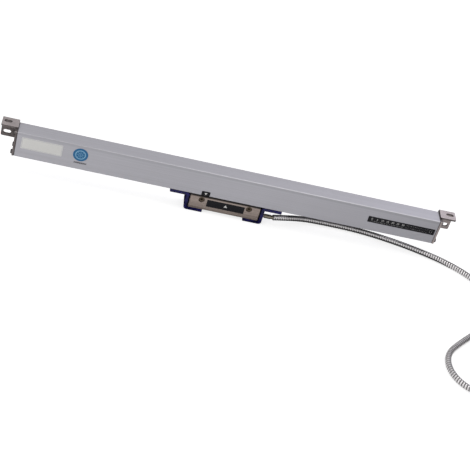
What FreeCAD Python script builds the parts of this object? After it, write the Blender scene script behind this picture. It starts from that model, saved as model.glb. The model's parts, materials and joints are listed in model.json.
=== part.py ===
import FreeCAD, Part
import math
import os

from FreeCAD import Vector

# Linear glass scale: a sealed aluminium housing with a graduated glass strip inside, and a
# scanning head that slides below it. Millimetres, +X along the scale to the right, +Y to the
# back, +Z up. The origin is half-way between the two slots in the brackets' back flanges, on
# the plane that lies against the machine.

# Housing, an extrusion with a hollow for the glass and a slit along its bottom
housing_length = 440.0
housing_depth = 18.1
housing_height = 29.2
housing_corner = 0.7
wall = 2.4                   # front and back walls
roof = 2.4
floor_thick = 6.4            # the two feet that hold the lips
slit_width = 6.0
lip_groove_depth = 1.5
lip_groove_height = 2.2
lip_groove_low = 2.4         # above the housing's bottom
port_radius = 1.2            # holes for the end screws
port_boss_radius = 2.3
port_inset = 3.2             # top ports, from the outer faces
port_inset_low_y = 2.5
port_inset_low_z = 3.4

# Brackets, folded sheet at both ends
bracket_thick = 2.0
back_gap = 0.4               # between the housing's back and the back flange
flange_length = 17.0
flange_front_reach = 15.0    # top flange, from the machine plane to its front edge
flange_drop = 5.4            # back flange, from its slot's centre down to its lower edge
slot_from_end = 11.5         # slot centres, beyond the housing's end
slot_height = 14.5           # back slots, above the housing's bottom
top_slot_back = 7.5          # top slots, in front of the machine plane
slot_length = 8.0
slot_width = 4.6
flange_corner = 1.6
plate_rise = 0.2             # end plate's top, above the housing's
web_lap = 0.5                # of the back flange's web onto the end plate
fold_share = 0.9             # outer radius of a fold, in sheet thicknesses
gasket_thick = 0.6
gasket_inset = 0.3           # inside the housing's outline
end_screw_head_radius = 2.3
end_screw_head_height = 1.6
end_screw_length = 9.0
end_screw_clearance = 0.15
end_screw_rim = 0.7          # rounding of the head
cross_width = 0.55           # cross recess of the end screws
cross_length = 2.6
cross_depth = 0.9

# Glass strip and the silicone that holds it in the roof's groove
glass_thick = 2.0
glass_lift = 12.5            # its lower edge, above the housing's bottom
glass_end_gap = 6.0          # short of each end of the housing
glass_front = 10.7           # behind the housing's front face
bond_thick = 0.3
groove_rib = 0.9
groove_depth = 3.0

# Lips that close the slit
lip_tip_gap = 0.3            # between a lip's tip and the blade
lip_thick = 0.7
lip_drop = 1.9
lip_end_gap = 0.4            # short of the gaskets
lip_root = 0.2               # how far a lip's root stands into the slit

# Blade that drives the carriage through the slit
blade_thick = 1.6
blade_length = 30.0
blade_point = 5.0
blade_seat = 3.6             # in the head block
blade_carriage_seat = 2.6

# Scanning head below the housing
head_rest_x = -1.0
head_length = 74.0
head_depth = 17.0
head_height = 16.5
head_gap = 1.4               # below the housing
head_setback = 0.2           # behind the housing's front
head_chamfer = 0.6
head_corner = 1.2
mount_pitch = 50.0
mount_drop = 4.2             # below the head's top
mount_screw_radius = 1.5
mount_hole_radius = 1.7
counterbore_radius = 3.3
counterbore_depth = 4.0
mount_head_radius = 2.75
mount_head_height = 3.0
mount_socket = 2.5           # across flats
mount_socket_depth = 1.8
mount_screw_proud = 7.0      # thread behind the head
mount_shank_radius = 1.3     # plain shank, thinner than the thread
mount_thread_gap = 0.3       # between the head's back and the thread
cavity_half_length = 17.0
cavity_drop = 6.4            # roof of the head's hollow, below the head's top
cavity_floor = 1.6
cavity_front = 3.4
cover_thick = 1.2
cover_margin = 4.2           # beyond the hollow's ends
cover_ledge_low = 0.8        # beyond the hollow's floor and roof
cover_ledge_high = 2.2
cover_gap = 0.1              # between the cover and its recess
cover_screw_radius = 1.0
cover_screw_head = 1.7
cover_screw_clearance = 0.1
cover_screw_length = 5.0
cover_screw_spare = 1.0      # hole beyond the screw's end
countersink_depth = 0.8
drive_slot_width = 0.4
drive_slot_depth = 0.5
board_thick = 1.2
board_back = 6.4             # behind the hollow's front
board_gap = 0.3              # below the hollow's roof

# Carriage that runs on the glass
carriage_length = 46.0
carriage_front = 4.3         # behind the housing's front face
carriage_low = 8.4           # above the housing's bottom
carriage_headroom = 6.6      # below the housing's top
glass_clear = 0.45
carriage_back_clear = 0.5
carriage_corner = 0.8
roller_radius = 2.5
roller_width = 2.0
roller_pin_radius = 0.8
roller_fit = 0.05
roller_glass_gap = 0.1
roller_side_clear = 0.3
roller_x = 17.0
window_offset = 0.2          # window and face rollers, above the middle between blade and carriage top
pin_grip = 1.5
window_length = 10.0
window_height = 6.0
grating_margin = 2.0
grating_thick = 0.8
grating_gap = 0.35           # between the grating and the glass
chip_offset = 2.2            # detector chips, from the middle
chip_size = 3.6
chip_thick = 0.9
lamp_radius = 1.5
coupling_wire_radius = 0.4
coupling_wire_length = 30.0

# Shipping clips, folded strip at both ends of the head
clip_thick = 3.2
clip_gap = 1.2               # between the head's end and the clip's leg
clip_flange = 17.5
clip_foot = 16.5
clip_depth = 17.0
clip_bend = 0.5              # inner radius of its folds
clip_run_gap = 0.3           # below the housing
clip_hole_radius = 2.7
clip_screw_radius = 1.25
clip_screw_head = 2.4
clip_screw_length = 6.5
clip_screw_in = 8.4          # from the head's end
clip_screw_back = 12.8       # behind the head's front
clip_screw_clearance = 0.15
clip_countersink = 1.4
clip_head_sunk = 0.1         # screw head below the foot's underside
clip_drive_width = 0.6
clip_drive_depth = 0.6

# Labels on the housing and on the head
label_thick = 0.2
label_corner = 0.5
label_recess = 0.1           # in the head block
type_label = (25.5, 3.4, 41.0, 13.2)        # centre from the housing's left end, centre z, length, height
round_label = (64.4, 3.5, 7.6)              # centre from the left end, centre z, radius
ruler_label = (-37.6, 0.0, 72.6, 7.3)       # from the right end
marker_label = (14.4, -11.4, 8.8, 5.2)      # from the head's left end
head_label = (0.7, -7.0, 39.6, 8.6)         # from the head's middle and top

# Cable, an armoured hose, with its fitting at the head and its plug
cable_radius = 3.1
exit_back = 6.9              # behind the housing's front face
exit_low = 3.8               # above the head's bottom
nipple_radius = 2.0
ferrule_radius = 2.3
ferrule_start = 6.6          # beyond the head's end
ferrule_length = 7.0
ferrule_chamfer = 0.35
collar_length = 2.4
collar_radius = 2.0
nipple_inside = 18.0
coil_centre = (312.0, -164.6)
coil_inner = 27.0            # middle of the innermost turn
coil_columns = 5
coil_layers = 2
coil_pitch = 6.2
hood_length = 38.0
hood_width = 34.0
hood_neck_width = 18.0
hood_tip_share = 0.72        # width at the boot, in neck widths
hood_taper = 5.0
hood_height = 16.0
hood_shoulder = 15.0
hood_chamfer = 1.2
boot_length = 20.0
boot_radius = 4.4
boot_tip_radius = 3.5
boot_grooves = 4
boot_groove_start = 4.0
boot_groove_pitch = 3.6
boot_groove_width = 1.2
boot_groove_radius = 3.2     # at the bottom of the first groove
boot_groove_growth = 0.12    # from each groove to the next
plug_x = 363.4
plug_boot_y = -102.0
shell_plate = (30.8, 12.5, 1.0)              # width, height, thickness
shell_plate_corner = 1.5
shell_length = 6.0
shell_width = 17.0
shell_height = 8.4
shell_wall = 0.5
shell_slope = 1.4            # how much narrower its lower side is, at each end
shell_corner = 1.8
insert_proud = 1.6           # beyond the plate
pin_setback = 0.8            # behind the shell's mouth
thumb_pitch = 25.0
thumb_radius = 1.5
thumb_fit = 0.08
thumb_head_radius = 3.0
thumb_head_length = 9.0
thumb_proud = 5.0
thumb_flutes = 12
flute_radius = 0.45
flute_circle = 3.2
flute_ends = (1.0, 1.6)      # from the head's ends
pin_radius = 0.5
pin_pitch = 2.77
pin_row = 2.84

# Cutters reach this far beyond the faces that they open, and joined bodies share this much
cut_over = 1.0
lap = 0.2

# Places that follow from the sizes above
bottom = -slot_height
top = bottom + housing_height
front = -back_gap - bracket_thick - housing_depth
back = front + housing_depth
half = housing_length / 2
head_top = bottom - head_gap
head_low = head_top - head_height
head_front = front + head_setback
head_back = head_front + head_depth
head_left = head_rest_x - head_length / 2
head_right = head_rest_x + head_length / 2
ground = head_low - clip_thick
blade_y = front + housing_depth / 2
glass_y = front + glass_front
glass_back = glass_y + glass_thick
glass_top = top - roof - bond_thick
glass_low = bottom + glass_lift
glass_length = housing_length - 2 * glass_end_gap
bond_low = top - roof - groove_depth
blade_top = bottom + carriage_low + blade_carriage_seat
carriage_high = top - carriage_headroom
window_z = (blade_top + carriage_high) / 2 + window_offset
slit_low_y = blade_y - slit_width / 2
slit_high_y = blade_y + slit_width / 2
cable_z = ground + cable_radius
coil_outer_turn = coil_inner + (coil_columns - 1) * coil_pitch
exit_y = front + exit_back
exit_z = head_low + exit_low
exit_x = head_right + ferrule_start + ferrule_length + collar_length
plate_out = half + gasket_thick + bracket_thick

# Route of the cable from the head to its coil, and from the coil to the plug
lead_route = [
    (exit_x, exit_y, exit_z),
    (66.0, -10.4, -28.0),
    (86.0, -1.6, -31.0),
    (112.0, 1.4, cable_z),
    (146.0, 0.8, cable_z),
    (180.0, -4.6, cable_z),
    (212.0, -12.8, cable_z),
    (246.0, -25.2, cable_z),
    (274.0, -45.0, cable_z),
    (288.0, -74.0, cable_z),
    (281.0, -104.0, cable_z),
    (262.0, -127.5, cable_z),
    (240.0, -150.0, cable_z),
    (226.0, -166.8, cable_z),
    (223.3, -186.4, cable_z),
    (231.4, -204.5, cable_z),
    (247.9, -215.2, cable_z),
    (268.0, -217.2, cable_z),
    (290.0, -216.4, cable_z),
    (coil_centre[0], coil_centre[1] - coil_outer_turn, cable_z),
]
plug_z = ground + hood_height / 2
tail_route = [
    (coil_centre[0] + coil_outer_turn, coil_centre[1], cable_z + coil_pitch),
    (364.6, -144.0, cable_z + coil_pitch + 0.1),
    (364.4, -122.0, plug_z + 0.3),
    (plug_x, plug_boot_y, plug_z),
]


def box(x0, x1, y0, y1, z0, z1):
    return Part.makeBox(x1 - x0, y1 - y0, z1 - z0, Vector(x0, y0, z0))


def rodX(x0, x1, y, z, r):
    return Part.makeCylinder(r, x1 - x0, Vector(x0, y, z), Vector(1, 0, 0))


def rodY(x, y0, y1, z, r):
    return Part.makeCylinder(r, y1 - y0, Vector(x, y0, z), Vector(0, 1, 0))


def rodZ(x, y, z0, z1, r):
    return Part.makeCylinder(r, z1 - z0, Vector(x, y, z0), Vector(0, 0, 1))


def polygonFace(points):
    vectors = [Vector(*p) for p in points]
    return Part.Face(Part.makePolygon(vectors + vectors[:1]))


def profileX(points, x0, x1):
    # Extrude an outline of (y, z) points from x0 to x1.
    face = polygonFace([(x0, y, z) for y, z in points])
    return face.extrude(Vector(x1 - x0, 0, 0))


def profileY(points, y0, y1):
    face = polygonFace([(x, y0, z) for x, z in points])
    return face.extrude(Vector(0, y1 - y0, 0))


def profileZ(points, z0, z1):
    face = polygonFace([(x, y, z0) for x, y in points])
    return face.extrude(Vector(0, 0, z1 - z0))


def filletAlong(shape, axis, radius, keep=None):
    # Round the straight edges that lie along an axis, or only those that keep() picks.
    picked = []
    for edge in shape.Edges:
        if len(edge.Vertexes) != 2:
            continue
        step = edge.Vertexes[1].Point - edge.Vertexes[0].Point
        if step.Length < 1e-6 or abs(abs(step.normalize().dot(axis)) - 1) > 1e-6:
            continue
        if keep is None or keep(edge.CenterOfMass):
            picked.append(edge)
    return shape.makeFillet(radius, picked) if picked else shape


def mirrored(shape):
    return shape.mirror(Vector(0, 0, 0), Vector(1, 0, 0))


def obroundY(x, z, y0, y1, length, width):
    # A slot through a plate: round ends, long side along X, cut along Y.
    r = width / 2
    run = length / 2 - r
    middle = box(x - run, x + run, y0, y1, z - r, z + r)
    return middle.fuse([rodY(x - run, y0, y1, z, r), rodY(x + run, y0, y1, z, r)])


def obroundZ(x, y, z0, z1, length, width):
    r = width / 2
    run = length / 2 - r
    middle = box(x - run, x + run, y - r, y + r, z0, z1)
    return middle.fuse([rodZ(x - run, y, z0, z1, r), rodZ(x + run, y, z0, z1, r)])


def hexY(x, z, y0, y1, acrossFlats):
    r = acrossFlats / math.sqrt(3)
    corners = [i * math.pi / 3 for i in range(6)]
    return profileY([(x + r * math.cos(a), z + r * math.sin(a)) for a in corners], y0, y1)


def portPlaces():
    # The four end-screw holes as (y, z).
    return [
        (front + port_inset_low_y, bottom + port_inset_low_z),
        (back - port_inset_low_y, bottom + port_inset_low_z),
        (front + port_inset, top - port_inset),
        (back - port_inset, top - port_inset),
    ]


# Housing
def makeHousing():
    outer = filletAlong(box(-half, half, front, back, bottom, top), Vector(1, 0, 0), housing_corner)
    hollow = box(-half, half, front + wall, back - wall, bottom + floor_thick, top - roof)
    slit = box(-half, half, slit_low_y, slit_high_y, bottom - cut_over, bottom + floor_thick + cut_over)
    groove = box(-half, half, slit_low_y - lip_groove_depth, slit_high_y + lip_groove_depth,
                 bottom + lip_groove_low, bottom + lip_groove_low + lip_groove_height)
    shell = outer.cut([hollow, slit, groove])
    ribs = []
    for y0 in (glass_y - bond_thick - groove_rib, glass_back + bond_thick):
        ribs.append(box(-half, half, y0, y0 + groove_rib, bond_low, top - roof + lap))
    bosses = [rodX(-half, half, y, z, port_boss_radius) for y, z in portPlaces()[2:]]
    shell = shell.fuse(ribs + bosses)
    cuts = [rodX(-half, half, y, z, port_radius) for y, z in portPlaces()]
    cuts.append(box(-half, half, glass_y - bond_thick, glass_back + bond_thick, bond_low, top - roof))
    return shell.cut(cuts).removeSplitter()


# Glass and its bond
def makeGlass():
    return box(-glass_length / 2, glass_length / 2, glass_y, glass_back, glass_low, glass_top)


def makeBond():
    end = glass_length / 2
    outer = box(-end, end, glass_y - bond_thick, glass_back + bond_thick, bond_low, top - roof)
    return outer.cut(makeGlass())


# Lips
def makeLip(side):
    # side is -1 for the front lip and +1 for the rear one.
    wallY = slit_width / 2
    tipY = blade_thick / 2 + lip_tip_gap
    base0 = bottom + lip_groove_low
    base1 = base0 + lip_groove_height
    points = [
        (wallY + lip_groove_depth, base0),
        (wallY + lip_groove_depth, base1),
        (wallY - lip_root, base1),
        (tipY, base1 - lip_drop),
        (tipY, base1 - lip_drop - lip_thick),
        (wallY - lip_root, base0),
    ]
    outline = [(blade_y + side * y, z) for y, z in points]
    return profileX(outline, -half + lip_end_gap, half - lip_end_gap)


# Brackets, gaskets and end screws, made for the right end
def makeBracket():
    inner = half + gasket_thick
    outer = inner + flange_length
    flangeTop = top + bracket_thick
    low = -flange_drop
    plate = box(inner, inner + bracket_thick, front, back, bottom, top + plate_rise)
    web = box(inner, inner + bracket_thick, back - web_lap, 0, low, flangeTop)
    upper = box(inner, outer, -flange_front_reach, 0, top, flangeTop)
    rear = box(inner, outer, -bracket_thick, 0, low, flangeTop)
    upper = filletAlong(upper, Vector(0, 0, 1), flange_corner, lambda c: c.x > outer - 0.1 and c.y < -1)
    rear = filletAlong(rear, Vector(0, 1, 0), flange_corner, lambda c: c.x > outer - 0.1 and c.z < 0)
    shape = plate.fuse([web, upper, rear]).removeSplitter()
    shape = filletAlong(shape, Vector(1, 0, 0), bracket_thick * fold_share,
                        lambda c: c.y > -0.01 and c.z > flangeTop - 0.01)
    x = half + slot_from_end
    slots = [
        obroundY(x, 0, -bracket_thick - cut_over, cut_over, slot_length, slot_width),
        obroundZ(x, -top_slot_back, top - cut_over, flangeTop + cut_over, slot_length, slot_width),
    ]
    holes = [rodX(inner - cut_over, inner + bracket_thick + cut_over, y, z, port_radius + end_screw_clearance)
             for y, z in portPlaces()]
    return shape.cut(slots + holes)


def makeGasket():
    sheet = box(half, half + gasket_thick, front + gasket_inset, back - gasket_inset,
                bottom + gasket_inset, top - gasket_inset)
    holes = [rodX(half - cut_over, half + gasket_thick + cut_over, y, z, port_radius + end_screw_clearance)
             for y, z in portPlaces()]
    return sheet.cut(holes)


def makeEndScrews():
    screws = []
    headEnd = plate_out + end_screw_head_height
    for y, z in portPlaces():
        shank = rodX(plate_out - end_screw_length, plate_out + lap, y, z, port_radius)
        head = rodX(plate_out, headEnd, y, z, end_screw_head_radius)
        rim = [e for e in head.Edges if e.CenterOfMass.x > headEnd - 0.01]
        head = head.makeFillet(end_screw_rim, rim)
        screw = head.fuse(shank)
        for wide, tall in ((cross_width, cross_length), (cross_length, cross_width)):
            screw = screw.cut(box(headEnd - cross_depth, headEnd + cut_over,
                                  y - wide / 2, y + wide / 2, z - tall / 2, z + tall / 2))
        screws.append(screw)
    return Part.Compound(screws)


# Scanning head
def headCavity(y1):
    return box(head_rest_x - cavity_half_length, head_rest_x + cavity_half_length,
               head_front + cavity_front, y1, head_low + cavity_floor, head_top - cavity_drop)


def coverOutline(inset, y0, y1):
    wide = cavity_half_length + cover_margin - inset
    low = head_low + cavity_floor - cover_ledge_low + inset
    high = head_top - cavity_drop + cover_ledge_high - inset
    return box(head_rest_x - wide, head_rest_x + wide, y0, y1, low, high)


def coverScrewPlaces():
    wide = cavity_half_length + cover_margin / 2
    z = (head_low + cavity_floor + head_top - cavity_drop) / 2
    return [(head_rest_x - wide, z), (head_rest_x + wide, z)]


def bladeOutline():
    hx = blade_length / 2
    hy = blade_thick / 2
    mid = hx - blade_point
    points = [(-hx, 0), (-mid, -hy), (mid, -hy), (hx, 0), (mid, hy), (-mid, hy)]
    return [(head_rest_x + x, blade_y + y) for x, y in points]


def mountScrewPlaces():
    return [(head_rest_x + s * mount_pitch / 2, head_top - mount_drop) for s in (-1, 1)]


def makeHeadBlock():
    block = box(head_left, head_right, head_front, head_back, head_low, head_top)
    block = filletAlong(block, Vector(0, 1, 0), head_corner)
    edges = [e for e in block.Edges if e.BoundBox.YMax < head_front + 0.01]
    block = block.makeChamfer(head_chamfer, edges)
    cuts = [headCavity(head_back + cut_over), coverOutline(0, head_back - cover_thick, head_back + cut_over)]
    for x, z in mountScrewPlaces():
        cuts.append(rodY(x, head_front - cut_over, head_back + cut_over, z, mount_hole_radius))
        cuts.append(rodY(x, head_front - cut_over, head_front + counterbore_depth, z, counterbore_radius))
    tapped = cover_screw_length + cover_screw_spare
    for x, z in coverScrewPlaces():
        cuts.append(rodY(x, head_back - tapped, head_back, z, cover_screw_radius))
    cuts.append(profileZ(bladeOutline(), head_top - blade_seat, head_top + cut_over))
    inner = head_rest_x + cavity_half_length
    cuts.append(rodX(inner - cut_over, head_right + cut_over, exit_y, exit_z, nipple_radius))
    threadTop = head_low + clip_screw_length - clip_thick
    for side in (-1, 1):
        x, y = clipScrewPlace(side)
        cuts.append(rodZ(x, y, head_low - cut_over, threadTop, clip_screw_radius))
    seat = head_front + label_recess
    cuts.append(labelPlate(head_label, head_rest_x, head_top, head_front - label_thick, seat))
    return block.cut(cuts)


def makeHeadCover():
    cover = coverOutline(cover_gap, head_back - cover_thick, head_back)
    holes = []
    for x, z in coverScrewPlaces():
        hole = cover_screw_radius + cover_screw_clearance
        holes.append(rodY(x, head_back - cover_thick - cut_over, head_back + cut_over, z, hole))
        holes.append(Part.makeCone(hole, cover_screw_head, countersink_depth,
                                   Vector(x, head_back - countersink_depth, z), Vector(0, 1, 0)))
    return cover.cut(holes)


def makeCoverScrews():
    screws = []
    for x, z in coverScrewPlaces():
        neck = head_back - countersink_depth + lap
        shank = rodY(x, head_back - cover_screw_length, neck, z, cover_screw_radius)
        cone = Part.makeCone(cover_screw_radius, cover_screw_head - cover_screw_clearance,
                             countersink_depth - cover_screw_clearance,
                             Vector(x, head_back - countersink_depth, z), Vector(0, 1, 0))
        slot = box(x - drive_slot_width / 2, x + drive_slot_width / 2, head_back - drive_slot_depth,
                   head_back + cut_over, z - cover_screw_head, z + cover_screw_head)
        screws.append(shank.fuse(cone).cut(slot))
    return Part.Compound(screws)


def makeBoard():
    y = head_front + cavity_front + board_back
    z1 = head_top - cavity_drop
    return box(head_rest_x - cavity_half_length, head_rest_x + cavity_half_length,
               y, y + board_thick, head_low + cavity_floor, z1 - board_gap)


def makeMountScrews():
    screws = []
    for x, z in mountScrewPlaces():
        seat = head_front + counterbore_depth
        threadStart = head_back + mount_thread_gap
        shank = rodY(x, seat - lap, threadStart + lap, z, mount_shank_radius)
        thread = rodY(x, threadStart, head_back + mount_screw_proud, z, mount_screw_radius)
        head = rodY(x, seat - mount_head_height, seat, z, mount_head_radius)
        face = seat - mount_head_height
        socket = hexY(x, z, face - cut_over, face + mount_socket_depth, mount_socket)
        screws.append(head.fuse([shank, thread]).cut(socket))
    return Part.Compound(screws)


def makeBlade():
    seat = bottom + carriage_low
    lower = profileZ(bladeOutline(), head_top - blade_seat, seat)
    mid = blade_length / 2 - blade_point
    y0 = blade_y - blade_thick / 2
    upper = box(head_rest_x - mid, head_rest_x + mid, y0, y0 + blade_thick,
                seat - cut_over, seat + blade_carriage_seat)
    return lower.fuse(upper).removeSplitter().cut(couplingWire())


# Carriage with its rollers, lamp and detector
def couplingWire():
    z = bottom + carriage_low + blade_carriage_seat / 2
    hx = coupling_wire_length / 2
    return rodX(head_rest_x - hx, head_rest_x + hx, blade_y, z, coupling_wire_radius)


def edgeRollerAxis():
    return (glass_y + glass_back) / 2, glass_low - roller_glass_gap - roller_radius


def faceRollerAxis():
    return glass_y - roller_glass_gap - roller_radius, window_z


def rollerPlaces():
    return [head_rest_x - roller_x, head_rest_x + roller_x]


def makeCarriage():
    hx = carriage_length / 2
    x0 = head_rest_x - hx
    x1 = head_rest_x + hx
    low = bottom + carriage_low
    y0 = front + carriage_front
    y1 = back - wall - carriage_back_clear
    body = box(x0, x1, y0, y1, low, carriage_high)
    body = filletAlong(body, Vector(1, 0, 0), carriage_corner)
    cuts = [box(x0 - cut_over, x1 + cut_over, glass_y - glass_clear, glass_back + glass_clear,
                glass_low - glass_clear, carriage_high + cut_over)]
    reach = roller_radius + roller_side_clear
    wide = roller_width / 2 + roller_side_clear
    ey, ez = edgeRollerAxis()
    fy, fz = faceRollerAxis()
    for x in rollerPlaces():
        cuts.append(box(x - reach, x + reach, ey - wide, ey + wide, low - cut_over, glass_low))
        cuts.append(box(x - reach, x + reach, fy - reach, glass_y, fz - wide, fz + wide))
    cuts.append(rollerPins())
    cuts.append(windowCut())
    cuts.append(makeGrating())
    cuts.append(makeDetectorBoard())
    cuts.append(rodY(head_rest_x, glass_back, back, window_z, lamp_radius))
    mid = blade_length / 2 - blade_point
    bladeFront = blade_y - blade_thick / 2
    cuts.append(box(head_rest_x - mid, head_rest_x + mid, bladeFront, bladeFront + blade_thick,
                    low - cut_over, low + blade_carriage_seat))
    cuts.append(couplingWire())
    return body.cut(cuts)


def rollerPins():
    ey, ez = edgeRollerAxis()
    fy, fz = faceRollerAxis()
    grip = roller_width / 2 + roller_side_clear + pin_grip
    pins = []
    for x in rollerPlaces():
        pins.append(rodY(x, ey - grip, ey + grip, ez, roller_pin_radius))
        pins.append(rodZ(x, fy, fz - grip, fz + grip, roller_pin_radius))
    return Part.Compound(pins)


def makeEdgeRoller(x):
    y, z = edgeRollerAxis()
    w = roller_width / 2
    ring = rodY(x, y - w, y + w, z, roller_radius)
    return ring.cut(rodY(x, y - w - cut_over, y + w + cut_over, z, roller_pin_radius + roller_fit))


def makeFaceRoller(x):
    y, z = faceRollerAxis()
    w = roller_width / 2
    ring = rodZ(x, y, z - w, z + w, roller_radius)
    return ring.cut(rodZ(x, y, z - w - cut_over, z + w + cut_over, roller_pin_radius + roller_fit))


def windowCut():
    z = window_z
    return box(head_rest_x - window_length / 2, head_rest_x + window_length / 2,
               front, glass_y, z - window_height / 2, z + window_height / 2)


def makeGrating():
    z = window_z
    hx = window_length / 2 + grating_margin
    hz = window_height / 2 + grating_margin / 2
    y1 = glass_y - grating_gap
    return box(head_rest_x - hx, head_rest_x + hx, y1 - grating_thick, y1, z - hz, z + hz)


def makeDetectorBoard():
    z = window_z
    hx = window_length / 2 + grating_margin
    hz = window_height / 2 + grating_margin
    y0 = front + carriage_front
    return box(head_rest_x - hx, head_rest_x + hx, y0, y0 + board_thick, z - hz, z + hz)


def makeDetector():
    z = window_z
    y0 = front + carriage_front + board_thick
    side = chip_size / 2
    middles = [head_rest_x - chip_offset, head_rest_x + chip_offset]
    return Part.Compound([box(x - side, x + side, y0, y0 + chip_thick, z - side, z + side) for x in middles])


def makeLamp():
    z = window_z
    y1 = back - wall - carriage_back_clear
    y0 = glass_back + glass_clear
    return rodY(head_rest_x, y0, y1, z, lamp_radius)


# Shipping clips
def clipScrewPlace(side):
    end = head_right if side > 0 else head_left
    return end - side * clip_screw_in, head_front + clip_screw_back


def makeClip(side):
    # A strip folded in a Z: flange below the housing, leg beside the head, foot below it.
    inner = head_length / 2 + clip_gap
    outer = inner + clip_thick
    flangeTop = bottom - clip_run_gap
    points = [
        (outer + clip_flange, flangeTop),
        (inner, flangeTop),
        (inner, head_low),
        (inner - clip_foot, head_low),
        (inner - clip_foot, ground),
        (outer, ground),
        (outer, flangeTop - clip_thick),
        (outer + clip_flange, flangeTop - clip_thick),
    ]
    points = [(head_rest_x + side * x, z) for x, z in points]
    clip = profileY(points, front, front + clip_depth)
    innerRadius = clip_bend
    outerRadius = clip_bend + clip_thick * fold_share

    def isAt(x, z):
        return lambda c: abs(c.x - (head_rest_x + side * x)) < 0.01 and abs(c.z - z) < 0.01

    for x, z, r in ((inner, flangeTop, outerRadius), (outer, flangeTop - clip_thick, innerRadius),
                    (outer, ground, outerRadius), (inner, head_low, innerRadius)):
        clip = filletAlong(clip, Vector(0, 1, 0), r, isAt(x, z))
    x, y = clipScrewPlace(side)
    hole = clip_screw_radius + clip_screw_clearance
    cuts = [rodZ(x, y, ground - cut_over, head_low + cut_over, hole),
            Part.makeCone(clip_screw_head, hole, clip_countersink, Vector(x, y, ground), Vector(0, 0, 1))]
    if side > 0:
        legOut = head_right + clip_gap + clip_thick
        cuts.append(rodX(head_right, legOut + cut_over, exit_y, exit_z, clip_hole_radius))
    return clip.cut(cuts)


def makeClipScrews():
    screws = []
    for side in (-1, 1):
        x, y = clipScrewPlace(side)
        low = ground + clip_head_sunk
        cone = Part.makeCone(clip_screw_head - clip_screw_clearance, clip_screw_radius,
                             clip_countersink - clip_head_sunk, Vector(x, y, low), Vector(0, 0, 1))
        shank = rodZ(x, y, ground + clip_countersink - lap, head_low + clip_screw_length - clip_thick,
                     clip_screw_radius)
        slotFront = y - clip_drive_width / 2
        slot = box(x - clip_screw_head, x + clip_screw_head, slotFront, slotFront + clip_drive_width,
                   ground, low + clip_drive_depth)
        screws.append(cone.fuse(shank).cut(slot))
    return Part.Compound(screws)


# Labels
def labelPlate(label, x, z, y0, y1):
    cx, cz, length, height = label
    plate = box(x + cx - length / 2, x + cx + length / 2, y0, y1, z + cz - height / 2, z + cz + height / 2)
    return filletAlong(plate, Vector(0, 1, 0), label_corner)


def makeLabel(label, x, z, face):
    return labelPlate(label, x, z, face - label_thick, face)


def makeRoundLabel():
    x, z, r = round_label
    return rodY(x - half, front - label_thick, front, z, r)


# Cable
def routeWire(points):
    # Straight runs joined by tangent arcs, with the radius of every arc.
    corners = [Vector(*p) for p in points]
    edges = []
    radii = []
    start = corners[0]
    for before, corner, after in zip(corners, corners[1:], corners[2:]):
        runIn = corner - before
        runOut = after - corner
        turn = runIn.getAngle(runOut)
        cut = 0.45 * min(runIn.Length, runOut.Length)
        radius = cut / math.tan(turn / 2)
        radii.append(radius)
        a = corner - runIn.normalize() * cut
        b = corner + runOut.normalize() * cut
        inward = (a + b) * 0.5 - corner
        inward.normalize()
        middle = corner + inward * (radius / math.cos(turn / 2) - radius)
        edges.append(Part.LineSegment(start, a).toShape())
        edges.append(Part.Arc(a, middle, b).toShape())
        start = b
    edges.append(Part.LineSegment(start, corners[-1]).toShape())
    return Part.Wire(edges), radii


def makeTube(name, points):
    wire, radii = routeWire(points)
    direction = Vector(*points[1]) - Vector(*points[0])
    ring = Part.Wire(Part.makeCircle(cable_radius, Vector(*points[0]), direction))
    tube = wire.makePipeShell([ring], True, False)
    ratio = tube.Volume / (math.pi * cable_radius ** 2 * wire.Length)
    print(name, "length", round(wire.Length, 1), "volume ratio", round(ratio, 4),
          "radii", [round(r) for r in radii])
    return tube


def makeCoil():
    # Outer shape of ten turns: five side by side, in two layers.
    x, y = coil_centre
    height = coil_layers * coil_pitch
    disc = rodZ(x, y, ground, ground + height, coil_outer_turn + cable_radius)
    return disc.cut(rodZ(x, y, ground - cut_over, ground + height + cut_over, coil_inner - cable_radius))


def makeNipple():
    start = head_right - nipple_inside
    neck = rodX(start, head_right + ferrule_start + cut_over, exit_y, exit_z, nipple_radius)
    ferrule = rodX(head_right + ferrule_start, exit_x - collar_length, exit_y, exit_z, ferrule_radius)
    rim = [e for e in ferrule.Edges if e.BoundBox.XLength < 0.01]
    ferrule = ferrule.makeChamfer(ferrule_chamfer, rim)
    collar = rodX(exit_x - collar_length - cut_over, exit_x, exit_y, exit_z, collar_radius)
    return neck.fuse([ferrule, collar]).removeSplitter()


# Plug
def hoodFace():
    return plug_boot_y + boot_length + hood_length


def makeBoot():
    tip = Part.makeCone(boot_tip_radius, boot_radius, boot_length, Vector(plug_x, plug_boot_y, plug_z),
                        Vector(0, 1, 0))
    grooves = []
    for i in range(boot_grooves):
        y = plug_boot_y + boot_groove_start + i * boot_groove_pitch
        radius = boot_groove_radius + boot_groove_growth * i
        core = rodY(plug_x, y - cut_over, y + boot_groove_width + cut_over, plug_z, radius)
        grooves.append(rodY(plug_x, y, y + boot_groove_width, plug_z, boot_radius + cut_over).cut(core))
    return tip.cut(grooves)


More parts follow.
